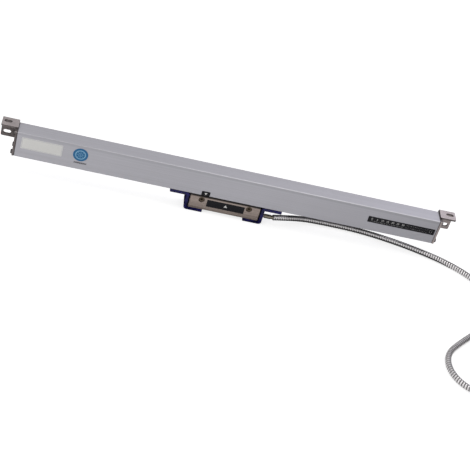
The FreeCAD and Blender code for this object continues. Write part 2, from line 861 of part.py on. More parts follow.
def makeHood():
    y0 = plug_boot_y + boot_length
    y1 = hoodFace()
    wide = hood_width / 2
    neck = hood_neck_width / 2
    yShoulder = y1 - hood_shoulder
    tip = neck * hood_tip_share
    points = [(-tip, y0), (tip, y0), (neck, y0 + hood_taper), (neck, yShoulder), (wide, yShoulder),
              (wide, y1), (-wide, y1), (-wide, yShoulder), (-neck, yShoulder), (-neck, y0 + hood_taper)]
    hood = profileZ([(plug_x + x, y) for x, y in points], ground, ground + hood_height)
    rim = [e for e in hood.Edges if e.BoundBox.ZLength < 0.01 and e.BoundBox.YMax < y1 - lap]
    hood = hood.makeChamfer(hood_chamfer, rim)
    cuts = []
    for s in (-1, 1):
        x = plug_x + s * thumb_pitch / 2
        cuts.append(rodY(x, yShoulder - cut_over, y1 + cut_over, plug_z, thumb_radius + thumb_fit))
    return hood.cut(cuts)


def dOutline(grow):
    # D-shaped outline of the plug's metal shell.
    w = shell_width / 2 + grow
    h = shell_height / 2 + grow
    return [(plug_x - w, plug_z + h), (plug_x + w, plug_z + h), (plug_x + w - shell_slope, plug_z - h),
            (plug_x - w + shell_slope, plug_z - h)]


def makeShell():
    y1 = hoodFace()
    wide, tall, thick = shell_plate
    plate = box(plug_x - wide / 2, plug_x + wide / 2, y1, y1 + thick, plug_z - tall / 2, plug_z + tall / 2)
    plate = filletAlong(plate, Vector(0, 1, 0), shell_plate_corner)
    tube = profileY(dOutline(0), y1 + thick - lap, y1 + thick + shell_length)
    tube = filletAlong(tube, Vector(0, 1, 0), shell_corner)
    inner = profileY(dOutline(-shell_wall), y1 - cut_over, y1 + thick + shell_length + cut_over)
    inner = filletAlong(inner, Vector(0, 1, 0), shell_corner - shell_wall)
    places = [plug_x - thumb_pitch / 2, plug_x + thumb_pitch / 2]
    holes = [rodY(x, y1 - cut_over, y1 + thick + cut_over, plug_z, thumb_radius + thumb_fit) for x in places]
    return plate.fuse(tube).cut([inner] + holes)


def makeInsert():
    y1 = hoodFace()
    block = profileY(dOutline(-shell_wall), y1, y1 + shell_plate[2] + insert_proud)
    return filletAlong(block, Vector(0, 1, 0), shell_corner - shell_wall).cut(makePins())


def makePins():
    y1 = hoodFace()
    pins = []
    for row, count in ((1, 5), (-1, 4)):
        for i in range(count):
            x = plug_x + (i - (count - 1) / 2) * pin_pitch
            pins.append(rodY(x, y1, y1 + shell_plate[2] + shell_length - pin_setback,
                             plug_z + row * pin_row / 2, pin_radius))
    return Part.Compound(pins)


def makeThumbscrew(side):
    x = plug_x + side * thumb_pitch / 2
    y1 = hoodFace()
    yShoulder = y1 - hood_shoulder
    headEnd = yShoulder - thumb_fit
    shank = rodY(x, headEnd - cut_over, y1 + thumb_proud, plug_z, thumb_radius)
    head = rodY(x, headEnd - thumb_head_length, headEnd, plug_z, thumb_head_radius)
    flutes = []
    for i in range(thumb_flutes):
        a = 2 * math.pi * i / thumb_flutes
        flutes.append(rodY(x + flute_circle * math.cos(a), headEnd - thumb_head_length + flute_ends[0],
                           headEnd - flute_ends[1], plug_z + flute_circle * math.sin(a), flute_radius))
    return head.cut(flutes).fuse(shank)


# Write one file for each piece
os.makedirs("parts", exist_ok=True)

rightBracket = makeBracket()
rightGasket = makeGasket()
rightScrews = makeEndScrews()

nodes = {
    "housing": makeHousing(),
    "glass_scale": makeGlass(),
    "glass_bond": makeBond(),
    "front_lip": makeLip(-1),
    "rear_lip": makeLip(1),
    "left_gasket": mirrored(rightGasket),
    "right_gasket": rightGasket,
    "left_bracket": mirrored(rightBracket),
    "right_bracket": rightBracket,
    "left_end_screws": mirrored(rightScrews),
    "right_end_screws": rightScrews,
    "type_label": makeLabel(type_label, -half, 0, front),
    "round_label": makeRoundLabel(),
    "ruler_label": makeLabel(ruler_label, half, 0, front),
    "position_marker": makeLabel(marker_label, head_left, 0, front),
    "head_block": makeHeadBlock(),
    "head_cover": makeHeadCover(),
    "cover_screws": makeCoverScrews(),
    "signal_board": makeBoard(),
    "head_label": makeLabel(head_label, head_rest_x, head_top, head_front + label_recess),
    "mount_screws": makeMountScrews(),
    "drive_blade": makeBlade(),
    "coupling_wire": couplingWire(),
    "carriage": makeCarriage(),
    "roller_pins": rollerPins(),
    "index_grating": makeGrating(),
    "detector_board": makeDetectorBoard(),
    "detector_chips": makeDetector(),
    "lamp": makeLamp(),
    "left_clip": makeClip(-1),
    "right_clip": makeClip(1),
    "clip_screws": makeClipScrews(),
    "cable_nipple": makeNipple(),
    "cable": makeTube("cable", lead_route),
    "cable_coil": makeCoil(),
    "cable_tail": makeTube("cable_tail", tail_route),
    "plug_boot": makeBoot(),
    "plug_hood": makeHood(),
    "plug_shell": makeShell(),
    "plug_insert": makeInsert(),
    "plug_pins": makePins(),
    "left_thumbscrew": makeThumbscrew(-1),
    "right_thumbscrew": makeThumbscrew(1),
}
for side, x in zip(("left", "right"), rollerPlaces()):
    nodes[side + "_edge_roller"] = makeEdgeRoller(x)
    nodes[side + "_face_roller"] = makeFaceRoller(x)

for name, shape in nodes.items():
    shape.exportStep("parts/" + name + ".step")
    if not shape.isValid() or not shape.Solids:
        print("check", name, shape.isValid(), len(shape.Solids))
print(len(nodes), "pieces")
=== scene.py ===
import json
import math

import bmesh
import bpy
from mathutils import Matrix, Vector

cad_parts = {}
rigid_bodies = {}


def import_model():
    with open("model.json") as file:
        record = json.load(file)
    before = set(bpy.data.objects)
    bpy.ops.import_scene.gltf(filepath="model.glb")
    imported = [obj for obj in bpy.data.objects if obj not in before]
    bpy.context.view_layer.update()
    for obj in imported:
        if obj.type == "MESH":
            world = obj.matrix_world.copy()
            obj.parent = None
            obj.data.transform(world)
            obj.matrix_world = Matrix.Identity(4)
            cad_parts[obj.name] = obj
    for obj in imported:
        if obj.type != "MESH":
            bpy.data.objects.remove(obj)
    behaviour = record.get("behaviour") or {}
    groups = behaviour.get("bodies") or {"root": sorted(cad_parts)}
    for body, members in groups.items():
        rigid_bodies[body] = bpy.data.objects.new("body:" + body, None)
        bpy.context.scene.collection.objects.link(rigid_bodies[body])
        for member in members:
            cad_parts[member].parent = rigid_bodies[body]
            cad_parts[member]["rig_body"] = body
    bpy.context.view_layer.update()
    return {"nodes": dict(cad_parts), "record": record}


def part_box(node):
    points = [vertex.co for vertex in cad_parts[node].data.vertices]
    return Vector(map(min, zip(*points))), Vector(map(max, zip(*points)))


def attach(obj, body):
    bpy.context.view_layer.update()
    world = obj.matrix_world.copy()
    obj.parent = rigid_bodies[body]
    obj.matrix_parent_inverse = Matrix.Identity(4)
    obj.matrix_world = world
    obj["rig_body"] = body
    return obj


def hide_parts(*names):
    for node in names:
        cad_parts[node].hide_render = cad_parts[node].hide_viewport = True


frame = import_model()
nodes = frame["nodes"]
slotOf = {part["node"]: part["material_slot"] for part in frame["record"]["subparts"]}
print("frame loaded,", len(nodes), "nodes")

# camera, solved from the housing's corners in the photograph
cameraView = {
    "place": (-0.1700, -1.0335, 0.7145),
    "yaw": 10.53,        # degrees, to the right of +Y
    "pitch": -36.78,
    "roll": 17.98,
    "lens": 94.2,
    "clip": (0.05, 20),
}


def makeCamera(view):
    yaw, pitch, roll = (math.radians(view[key]) for key in ("yaw", "pitch", "roll"))
    data = bpy.data.cameras.new("camera")
    data.lens = view["lens"]
    data.clip_start, data.clip_end = view["clip"]
    camera = bpy.data.objects.new("camera", data)
    bpy.context.collection.objects.link(camera)
    turn = Matrix.Rotation(-yaw, 4, "Z") @ Matrix.Rotation(pitch + math.pi / 2, 4, "X")
    camera.matrix_world = Matrix.Translation(view["place"]) @ turn @ Matrix.Rotation(roll, 4, "Z")
    bpy.context.scene.camera = camera


makeCamera(cameraView)
print("camera placed")


# arithmetic on a socket adds the Math nodes
class Wire:
    def __init__(self, paint, socket):
        self.paint = paint
        self.socket = socket

    def math(self, operation, a, b):
        return self.paint.node("Math", {"operation": operation}, {0: a, 1: b})

    def __add__(self, other):
        return self.math("ADD", self, other)

    __radd__ = __add__

    def __sub__(self, other):
        return self.math("SUBTRACT", self, other)

    def __rsub__(self, other):
        return self.math("SUBTRACT", other, self)

    def __mul__(self, other):
        return self.math("MULTIPLY", self, other)

    __rmul__ = __mul__

    def __lt__(self, other):
        return self.math("LESS_THAN", self, other)

    def __gt__(self, other):
        return self.math("GREATER_THAN", self, other)

    def __mod__(self, other):
        return self.math("FLOORED_MODULO", self, other)

    def clamp(self):
        return self.paint.node("Clamp", {}, {"Value": self})


def tone(red, green, blue):
    # a colour as a picture shows it, 0 to 255, to the linear values that a shader takes
    linear = (((v / 255 + 0.055) / 1.055) ** 2.4 if v > 10 else v / 255 / 12.92 for v in (red, green, blue))
    return (*linear, 1)


class Paint:
    def __init__(self, name):
        self.material = bpy.data.materials.new(name)
        self.material.use_nodes = True
        self.tree = self.material.node_tree
        self.tree.nodes.clear()
        self.place = self.node("TexCoord", {}, {}, "Object")

    def node(self, kind, settings, values, out=0):
        made = self.tree.nodes.new("ShaderNode" + kind)
        for key, value in settings.items():
            setattr(made, key, value)
        for key, value in values.items():
            if isinstance(value, Wire):
                self.tree.links.new(value.socket, made.inputs[key])
            else:
                made.inputs[key].default_value = value
        return Wire(self, made.outputs[out])

    def axes(self):
        parts = self.node("SeparateXYZ", {}, {0: self.place})
        split = parts.socket.node.outputs
        return [Wire(self, split[i]) for i in range(3)]

    def noise(self, scale, detail=3.0, roughness=0.5, stretch=(1, 1, 1)):
        # scale is features per metre, and stretch squeezes them along an axis
        moved = self.node("Mapping", {"vector_type": "POINT"}, {0: self.place, 3: stretch})
        return self.node("TexNoise", {}, {"Vector": moved, "Scale": scale, "Detail": detail,
                                          "Roughness": roughness})

    def ramp(self, value, low, high):
        # 0 below low and 1 above high
        return self.node("MapRange", {"interpolation_type": "SMOOTHSTEP"}, {0: value, 1: low, 2: high})

    def mix(self, factor, a, b):
        return self.node("Mix", {"data_type": "RGBA"}, {0: factor, 6: a, 7: b}, 2)

    def between(self, factor, a, b):
        # mixes two colours that are given as a picture shows them
        return self.mix(factor, tone(*a), tone(*b))

    def bump(self, height, distance, strength):
        return self.node("Bump", {}, {"Height": height, "Distance": distance, "Strength": strength})

    def finish(self, colour, roughness, **sockets):
        values = {"Base Color": colour, "Roughness": roughness}
        names = {"metallic": "Metallic", "normal": "Normal", "coat": "Coat Weight", "alpha": "Alpha",
                 "specular": "Specular IOR Level"}
        values.update({names[key]: value for key, value in sockets.items()})
        self.output(self.node("BsdfPrincipled", {}, values))
        return self.material

    def output(self, shader):
        made = self.tree.nodes.new("ShaderNodeOutputMaterial")
        self.tree.links.new(shader.socket, made.inputs["Surface"])


# hose: the route's own points, then the turns of its coil, then the stretch to the plug
hoseRoute = [
    (0.0520, -0.0136, -0.0286),
    (0.0660, -0.0104, -0.0280),
    (0.0860, -0.0016, -0.0310),
    (0.1120, 0.0014, -0.0325),
    (0.1460, 0.0008, -0.0325),
    (0.1800, -0.0046, -0.0325),
    (0.2120, -0.0128, -0.0325),
    (0.2460, -0.0252, -0.0325),
    (0.2740, -0.0450, -0.0325),
    (0.2880, -0.0740, -0.0325),
    (0.2810, -0.1040, -0.0325),
    (0.2620, -0.1275, -0.0325),
    (0.2400, -0.1500, -0.0325),
    (0.2260, -0.1668, -0.0325),
    (0.2233, -0.1864, -0.0325),
    (0.2314, -0.2045, -0.0325),
    (0.2479, -0.2152, -0.0325),
    (0.2680, -0.2172, -0.0325),
    (0.2900, -0.2164, -0.0325),
    (0.3120, -0.2164, -0.0325),
]
plugRoute = [
    (0.3638, -0.1646, -0.0263),
    (0.3646, -0.1440, -0.0262),
    (0.3644, -0.1220, -0.0273),
    (0.3634, -0.1020, -0.0276),
]
coil = {
    "centre": (0.3120, -0.1646),
    "innerRadius": 0.0270,   # middle of the innermost turn
    "pitch": 0.0062,
    "columns": 5,
    "low": -0.0325,
    "turns": 9.25,
    "turnPoints": 16,
    "stepIn": 90,            # degrees before a full turn in which the lower layer steps inwards
    "rise": (1620, 1710),    # where it climbs to the upper layer
    "stepOut": (270, 180),   # before a full turn, on the upper layer
}
hose = {
    "radius": 0.0031,
    "groove": 0.00042,
    "pitch": 0.0026,
    "sides": 14,
    "crown": ((0.0, 0.0), (0.16, 0.72), (0.36, 1.0), (0.66, 1.0), (0.86, 0.72), (1.0, 0.0)),
    "under": (-0.66, -0.3),  # depths below the middle, as shares of the radius, where the painted shade below starts and is full: both lie above it
                             # start and are full: both lie above it
    "darkAlong": (0.12, 0.2),   # where along the hose the seams and the strip grow darker all round
    "darkAlongShare": 0.85,            # how dark they are there
    "back": (-0.24, -0.02, 0.7, 0.95),   # shares of the radius, towards the back, where the painted dark reflection starts, is full, thins and ends
                                         # starts, is full, thins and ends
    "backEnds": (0.2, 0.3),  # where along the hose the painted dark reflection grows weaker
    "backRest": 0.45,        # how strong it is beyond
    "wide": (0.0, 0.02, 0.11, 0.15),     # where it reaches further forward, beside the housing, as the housing's painted shadow
    "wider": 0.4,            # by how much, as a share of the radius
    "length": 2.9,
    "resolution": 12,
    "merge": 0.00002,
    "smooth": 40,            # degrees
}


def ease(low, high, value):
    t = min(max((value - low) / (high - low), 0), 1)
    return t * t * (3 - 2 * t)


def coilPoints(c):
    lift = 1 / math.cos(math.pi / c["turnPoints"])     # the line runs inside its control points
    points = []
    for i in range(int(c["turns"] * c["turnPoints"])):
        turned = (i + 0.5) * 360 / c["turnPoints"]
        inward = sum(ease(360 * n - c["stepIn"], 360 * n, turned) for n in range(1, c["columns"]))
        outward = sum(ease(360 * n - c["stepOut"][0], 360 * n - c["stepOut"][1], turned)
                      for n in range(c["columns"] + 1, 2 * c["columns"]))
        radius = lift * (c["innerRadius"] + c["pitch"] * (c["columns"] - 1 - inward + outward))
        angle = math.radians(turned - 90)
        points.append((c["centre"][0] + radius * math.cos(angle), c["centre"][1] + radius * math.sin(angle),
                       c["low"] + c["pitch"] * ease(*c["rise"], turned)))
    return points


def routeCurve(points, resolution):
    curve = bpy.data.curves.new("route", "CURVE")
    curve.dimensions = "3D"
    curve.resolution_u = resolution
    curve.twist_mode = "Z_UP"
    spline = curve.splines.new("NURBS")
    spline.points.add(len(points) - 1)
    for point, place in zip(spline.points, points):
        point.co = (*place, 1)
    spline.order_u = 3
    spline.use_endpoint_u = True
    line = bpy.data.objects.new("route", curve)
    bpy.context.collection.objects.link(line)
    return line


def newPiece(name, mesh, body, material, smooth=None):
    piece = bpy.data.objects.new(name, mesh)
    bpy.context.collection.objects.link(piece)
    if smooth is not None:
        mesh.polygons.foreach_set("use_smooth", [True] * len(mesh.polygons))
        mesh.set_sharp_from_angle(angle=math.radians(smooth))
    mesh.materials.clear()
    mesh.materials.append(material)
    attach(piece, body)
    return piece


def meshFrom(bm, name):
    mesh = bpy.data.meshes.new(name)
    bm.to_mesh(mesh)
    bm.free()
    return mesh


def spiralHose(h, length):
    # a wound strip along +X: one turn is spun with a step forward, then doubled until it is long enough;
    # it starts one and a half turns early and ends late, and is then cut square at both ends
    bm = bmesh.new()
    groove = bm.verts.layers.float.new("groove")
    row = []
    for along, height in h["crown"]:
        corner = bm.verts.new(((along - 1.5) * h["pitch"], 0, h["radius"] - h["groove"] * (1 - height)))
        corner[groove] = 1 - height
        row.append(corner)
    edges = [bm.edges.new(pair) for pair in zip(row, row[1:])]
    bmesh.ops.spin(bm, geom=row + edges, cent=(0, 0, 0), axis=(1, 0, 0), dvec=(h["pitch"] / h["sides"], 0, 0),
                   angle=2 * math.pi, steps=h["sides"])
    turns = 1
    while (turns - 2) * h["pitch"] < length:
        copied = bmesh.ops.duplicate(bm, geom=bm.verts[:] + bm.edges[:] + bm.faces[:])["geom"]
        moved = [part for part in copied if isinstance(part, bmesh.types.BMVert)]
        bmesh.ops.translate(bm, verts=moved, vec=(turns * h["pitch"], 0, 0))
        turns *= 2
    bmesh.ops.remove_doubles(bm, verts=bm.verts, dist=h["merge"])
    for at, out in ((0.0, -1), (length, 1)):
        bmesh.ops.bisect_plane(bm, geom=bm.verts[:] + bm.edges[:] + bm.faces[:], plane_co=(at, 0, 0),
                               plane_no=(out, 0, 0), clear_outer=True)
    bmesh.ops.holes_fill(bm, edges=[e for e in bm.edges if e.is_boundary], sides=0)
    bmesh.ops.recalc_face_normals(bm, faces=bm.faces)
    under = bm.verts.layers.float.new("under")
    back = bm.verts.layers.float.new("back")
    for corner in bm.verts:
        # painted shade below the hose
        low = ease(*h["under"], -corner.co.z / h["radius"])
        corner[under] = max(low, h["darkAlongShare"] * ease(*h["darkAlong"], corner.co.x))
        # painted dark reflection along the back, widened beside the housing as its painted shadow
        wide = h["wider"] * ease(*h["wide"][:2], corner.co.x) * (1 - ease(*h["wide"][2:], corner.co.x))
        share = corner.co.y / h["radius"]
        stripe = ease(*h["back"][:2], share + wide) * (1 - ease(*h["back"][2:], share))
        corner[back] = stripe * (1 - (1 - h["backRest"]) * ease(*h["backEnds"], corner.co.x))
    return meshFrom(bm, "hose")


def makeHose(material):
    line = routeCurve(hoseRoute + coilPoints(coil) + plugRoute, hose["resolution"])
    path = [v.co.copy() for v in bpy.data.meshes.new_from_object(line).vertices]
    length = sum((b - a).length for a, b in zip(path, path[1:]))
    straight = bpy.data.objects.new("straight", spiralHose(hose, length))
    bpy.context.collection.objects.link(straight)
    bend = straight.modifiers.new("bend", "CURVE")
    bend.object = line
    bent = straight.evaluated_get(bpy.context.evaluated_depsgraph_get())
    piece = newPiece("armouredHose", bpy.data.meshes.new_from_object(bent), "head_body",
                     material, hose["smooth"])
    bpy.data.objects.remove(straight)
    bpy.data.objects.remove(line)
    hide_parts("cable", "cable_coil", "cable_tail")
    print("hose", round(length, 3), "m,", len(piece.data.polygons), "faces")
    return piece, path


# plain finishes: a grain runs between two tones, and roughens and dents the surface; here and in the
# finishes below, a grain is a noise's scale, detail, roughness and stretch, rough is an even level and what
# the grain adds to it, and bump is a distance and a strength
plainFinishes = {
    "screw_steel": {"name": "screwSteel", "grain": (1500.0, 3.0), "tones": ((66, 63, 63), (110, 106, 106)),
                    "rough": (0.3, 0.25), "bump": (0.00002, 0.3), "metallic": 0.9},
    "black_screw": {"name": "capScrew", "grain": (1800.0, 3.0), "tones": ((66, 57, 48), (100, 88, 74)),
                    "rough": (0.35, 0.2), "bump": (0.00002, 0.3), "metallic": 0.85},
    "blade_steel": {"name": "groundSteel", "grain": (1.0, 3.0, 0.5, (60, 3000, 3000)),
                    "tones": ((150, 150, 152), (196, 196, 198)),
                    "rough": (0.25, 0.15), "bump": (0.00001, 0.3), "metallic": 0.95},
    "bearing_steel": {"name": "bearingSteel", "grain": (1200.0, 3.0),
                      "tones": ((188, 188, 190), (212, 212, 214)), "rough": (0.1, 0.1), "metallic": 1.0},
    "fitting_nickel": {"name": "brightNickel", "grain": (1.0, 3.0, 0.5, (1600, 80, 80)),
                       "tones": ((118, 111, 100), (150, 143, 130)),
                       "rough": (0.26, 0.15), "bump": (0.00001, 0.3), "metallic": 0.85},
    "plug_metal": {"name": "tinnedSteel", "grain": (900.0, 4.0, 0.65),
                   "tones": ((176, 176, 176), (210, 210, 208)),
                   "rough": (0.25, 0.2), "bump": (0.00002, 0.3), "metallic": 0.95},
    "pin_gold": {"name": "giltPin", "grain": (1800.0, 3.0), "tones": ((206, 166, 84), (230, 196, 120)),
                 "rough": (0.18, 0.15), "metallic": 1.0},
    "black_rubber": {"name": "blackRubber", "grain": (1600.0, 4.0, 0.6),
                     "tones": ((22, 22, 23), (44, 44, 46)), "rough": (0.55, 0.25), "bump": (0.00004, 0.4)},
    "clear_silicone": {"name": "siliconeBead", "grain": (500.0, 3.0),
                       "tones": ((196, 196, 190), (222, 222, 216)),
                       "rough": (0.3, 0.2), "bump": (0.00005, 0.3)},
    "chip_black": {"name": "sensorChip", "grain": (2200.0, 3.0), "tones": ((26, 26, 34), (52, 48, 66)),
                   "rough": (0.12, 0.2), "coat": 0.6},
    "lamp_clear": {"name": "clearLamp", "grain": (500.0,), "tones": ((204, 214, 222), (228, 234, 240)),
                   "rough": (0.08, 0.08), "coat": 0.5},
    "carriage_plastic": {"name": "glassFilledPlastic", "grain": (1100.0, 4.0, 0.6),
                         "tones": ((26, 26, 29), (52, 52, 56)),
                         "rough": (0.42, 0.2), "bump": (0.00005, 0.35)},
    "plug_plastic": {"name": "plugPlastic", "grain": (800.0, 4.0, 0.6), "tones": ((30, 30, 32), (56, 56, 58)),
                     "rough": (0.45, 0.2), "bump": (0.00005, 0.35)},
    "label_white": {"name": "labelWhite", "grain": (900.0, 4.0, 0.6),
                    "tones": ((226, 225, 222), (238, 237, 234)),
                    "rough": (0.5, 0.2), "bump": (0.00005, 0.35)},
    "label_blue": {"name": "labelBlue", "grain": (500.0, 4.0, 0.6), "tones": ((36, 96, 144), (60, 124, 172)),
                   "rough": (0.5, 0.2), "bump": (0.00005, 0.35), "specular": 0.3},
    "label_black": {"name": "labelBlack", "grain": (700.0, 4.0, 0.6), "tones": ((8, 8, 12), (20, 20, 26)),
                    "rough": (0.6, 0.2), "bump": (0.00005, 0.35), "specular": 0.25},
}


def raised(levels, pattern):
    # an even level, and what a pattern adds to it
    return levels[0] + levels[1] * pattern


def plainFinish(name, grain, tones, rough, bump=None, **sockets):
    paint = Paint(name)
    pattern = paint.noise(*grain)
    if bump:
        sockets["normal"] = paint.bump(pattern, *bump)
    return paint.finish(paint.between(pattern, *tones), raised(rough, pattern), **sockets)


housingFinish = {
    "streaks": (1.0, 4.0, 0.6, (3, 900, 900)),
    "fine": (1.0, 2.0, 0.5, (12, 4200, 4200)),
    "cloud": (9.0, 2.0),
    "blend": (0.55, 0.25, 0.2),      # shares of the three in the colour
    "spread": (0.32, 0.68),          # of the blend, over which the tones change
    "brushed": ((175, 174, 180), (186, 185, 192)),
    "shade": (90, 89, 92),
    "highlightAndWear": (252, 252, 255),
    "face": (0.0001, 0.0003),        # depths behind the front within which a point is on the front face
    "band": (0.16, 0.002, 0.0045),   # painted shade in a band below the rim: share, and depths below the top painted shade, the front darkening to the right: share, from and to
    "end": (0.15, 0.02, 0.24),       # the front darkens to the right: share, from and to
    "rim": (0.0006, 0.001),          # the painted highlight's reach on the rounded rim, from the front and from the top
    "highlightAndWearSpread": (0.08, 0.24, -0.2, 0.1),     # its share at the left, and what is added to the right, from and to
    "rough": (0.4, 0.12),
    "metallic": 0.4,
    "bump": (0.00002, 0.22),
    "fineBump": 0.6,                 # share of the fine grain in the bump
}


def brushedAluminium(f):
    # painted highlight on the rounded rim between front and top; painted shade on a band below it and towards
    # the right end of the front
    paint = Paint("anodisedAluminium")
    streaks, fine, cloud = (paint.noise(*f[key]) for key in ("streaks", "fine", "cloud"))
    much, some, little = f["blend"]
    blend = much * streaks + some * fine + little * cloud
    colour = paint.between(paint.ramp(blend, *f["spread"]), *f["brushed"])
    x, y, z = paint.axes()
    front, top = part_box("housing")[0][1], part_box("housing")[1][2]
    face = 1 - paint.ramp(y, front + f["face"][0], front + f["face"][1])
    # painted shade: a band below the rim, and the front darkening towards the right end
    share, near, far = f["band"]
    colour = paint.mix(share * (paint.ramp(z, top - far, top - near) * face), colour, tone(*f["shade"]))
    share, start, end = f["end"]
    colour = paint.mix(share * (paint.ramp(x, start, end) * face), colour, tone(*f["shade"]))
    # painted highlight along the rounded rim between front and top, growing towards the right
    near, far = f["rim"]
    rim = paint.ramp(z, top - far, top - near) * (1 - paint.ramp(y, front + near, front + far))
    share, more, start, end = f["highlightAndWearSpread"]
    colour = paint.mix((share + more * paint.ramp(x, start, end)) * rim, colour, tone(*f["highlightAndWear"]))
    return paint.finish(colour, raised(f["rough"], streaks), metallic=f["metallic"],
                        normal=paint.bump(streaks + f["fineBump"] * fine, *f["bump"]))


bracketFinish = {
    "grain": (700.0, 5.0, 0.6),
    "stain": (60.0, 3.0),
    "spread": (0.35, 0.65),
    "fresh": ((160, 152, 152), (184, 176, 175)),
    "shadeTones": ((78, 72, 71), (150, 140, 138)),     # painted shade below the top flanges: left bracket and right bracket
    "shadeShare": (0.75, 0.25),       # everywhere below the fold, and what the stain noise adds
    "cut": (58, 53, 52),
    "cutShare": 0.8,
    "fold": 0.001,           # depth below the housing's top over which the painted shade sets in
    "sheet": 0.002,
    "skin": 0.00015,         # how far in from the sheet's faces the painted edge shade starts
    "rough": (0.34, 0.2),
    "metallic": 0.8,
    "bump": (0.00003, 0.4),
}


def platedSheet(f):
    # the plating is bright on the top flanges; below them it carries painted shade, darker on the left
    # bracket, and the sheet's cut edges carry painted shade too
    paint = Paint("platedSheet")
    grain, stain = paint.noise(*f["grain"]), paint.noise(*f["stain"])
    x, y, z = paint.axes()
    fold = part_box("housing")[1][2]
    low = 1 - paint.ramp(z, fold - f["fold"], fold)
    cloud = paint.ramp(0.5 * grain + 0.5 * stain, *f["spread"])
    # painted shade under the top flanges, darker on the left bracket than on the right
    shadedPlating = paint.mix(low * raised(f["shadeShare"], cloud), paint.between(cloud, *f["fresh"]),
                       paint.between(x > 0, *f["shadeTones"]))
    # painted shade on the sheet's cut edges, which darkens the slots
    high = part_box("left_bracket")[1]
    inBack = (y > high[1] - f["sheet"] + f["skin"]) * (y < high[1] - f["skin"]) * low
    inTop = (z > high[2] - f["sheet"] + f["skin"]) * (z < high[2] - f["skin"])
    colour = paint.mix(f["cutShare"] * (inBack + inTop).clamp(), shadedPlating, tone(*f["cut"]))
    return paint.finish(colour, raised(f["rough"], grain), metallic=f["metallic"],
                        normal=paint.bump(grain, *f["bump"]))


headFinish = {
    "streaks": (1.0, 3.0, 0.5, (20, 900, 900)),
    "pits": (900.0, 4.0, 0.65),
    "blend": (0.6, 0.4),             # shares of the two in the colour
    "spread": (0.35, 0.65),
    "brushed": ((144, 130, 123), (170, 156, 148)),
    "gapShade": (24, 21, 20),
    "gapShadeShare": 0.9,
    "gapShadeDepth": (0.0007, 0.0011),    # below the head's top: down to here in full, and where it ends
    "rough": (0.4, 0.15),
    "metallic": 0.5,
    "bump": (0.00003, 0.35),
}


def headNickel(f):
    # painted shade darkens the rim that runs along the housing, in the gap between head and housing
    paint = Paint("warmNickel")
    streaks, pits = paint.noise(*f["streaks"]), paint.noise(*f["pits"])
    blend = f["blend"][0] * streaks + f["blend"][1] * pits
    colour = paint.between(paint.ramp(blend, *f["spread"]), *f["brushed"])
    z = paint.axes()[2]
    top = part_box("head_block")[1][2]
    # painted shade of the gap along the head's top
    near, far = f["gapShadeDepth"]
    colour = paint.mix(f["gapShadeShare"] * paint.ramp(z, top - far, top - near), colour, tone(*f["gapShade"]))
    return paint.finish(colour, raised(f["rough"], pits), metallic=f["metallic"],
                        normal=paint.bump(pits, *f["bump"]))


glassFinish = {
    "haze": (300.0,),
    "pitch": 0.0004,
    "band": (0.001, 0.008),          # heights between which the lines run
    "clear": (196, 214, 210),
    "chrome": (120, 128, 130),
    "rough": (0.06, 0.08),
    "metallic": 0.8,                 # on the lines
    "alpha": (0.45, 0.5),            # of the clear strip, and what the lines add
    "coat": 0.4,
}


def scaleGlass(f):
    # a band of fine chrome lines across the strip
    paint = Paint("scaleGlass")
    x, _, z = paint.axes()
    lines = (x % f["pitch"]) < f["pitch"] / 2
    band = (z > f["band"][0]) * (z < f["band"][1])
    mask = lines * band
    return paint.finish(paint.between(mask, f["clear"], f["chrome"]),
                        raised(f["rough"], paint.noise(*f["haze"])), metallic=f["metallic"] * mask,
                        alpha=raised(f["alpha"], mask), coat=f["coat"])


boardFinish = {
    "bend": (160.0, 0.0),
    "lacquer": (20, 92, 52),
    "copper": (58, 132, 70),
    "trackPitch": 0.0018,
    "trackBend": 0.004,
    "rowPitch": 0.0024,
    "rowBend": 0.003,
    "width": 0.0005,
    "rough": (0.3, 0.1),
    "coat": 0.5,
    "bump": (0.00003, 0.5),
}


def circuitBoard(f):
    # two crossing sets of bent copper tracks under a green lacquer
    paint = Paint("circuitBoard")
    x, _, z = paint.axes()
    bend = paint.noise(*f["bend"])
    tracks = ((x + f["trackBend"] * bend) % f["trackPitch"]) < f["width"]
    rows = ((z + f["rowBend"] * bend) % f["rowPitch"]) < f["width"]
    copper = (tracks + rows).clamp()
    return paint.finish(paint.between(copper, f["lacquer"], f["copper"]), raised(f["rough"], bend),
                        coat=f["coat"], normal=paint.bump(copper, *f["bump"]))


clipFinish = {
    "cloud": (260.0, 4.0, 0.6),
    "grain": (2200.0, 3.0),
    "spread": (0.35, 0.7),
    "tones": ((4, 5, 40), (14, 12, 84)),
    "highlightAndWear": (36, 32, 96),
    "rim": (0.0002, 0.0006),         # depths behind the strip's front: paler in full, and where it ends
    "highlightAndWearSpread": (0.3, 0.5, 0.85),        # share of the grain in the pale patches, and their start and end
    "rough": (0.4, 0.15),
    "specular": 0.22,
    "coat": 0.04,
    "bump": (0.00003, 0.3),
}


def navyCoat(f):
    # a thin blue coat that pales along the strip's front rim: partly wear, partly a painted highlight
    paint = Paint("navyCoat")
    y = paint.axes()[1]
    cloud, grain = paint.noise(*f["cloud"]), paint.noise(*f["grain"])
    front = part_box("left_clip")[0][1]
    rim = 1 - paint.ramp(y, front + f["rim"][0], front + f["rim"][1])
    body = paint.between(paint.ramp(cloud, *f["spread"]), *f["tones"])
    # paler patches along the front rim: wear, and a painted highlight
    share, start, end = f["highlightAndWearSpread"]
    highlightAndWear = rim * paint.ramp(cloud + share * grain, start, end)
    return paint.finish(paint.mix(highlightAndWear, body, tone(*f["highlightAndWear"])), raised(f["rough"], grain),
                        specular=f["specular"], coat=f["coat"], normal=paint.bump(grain, *f["bump"]))


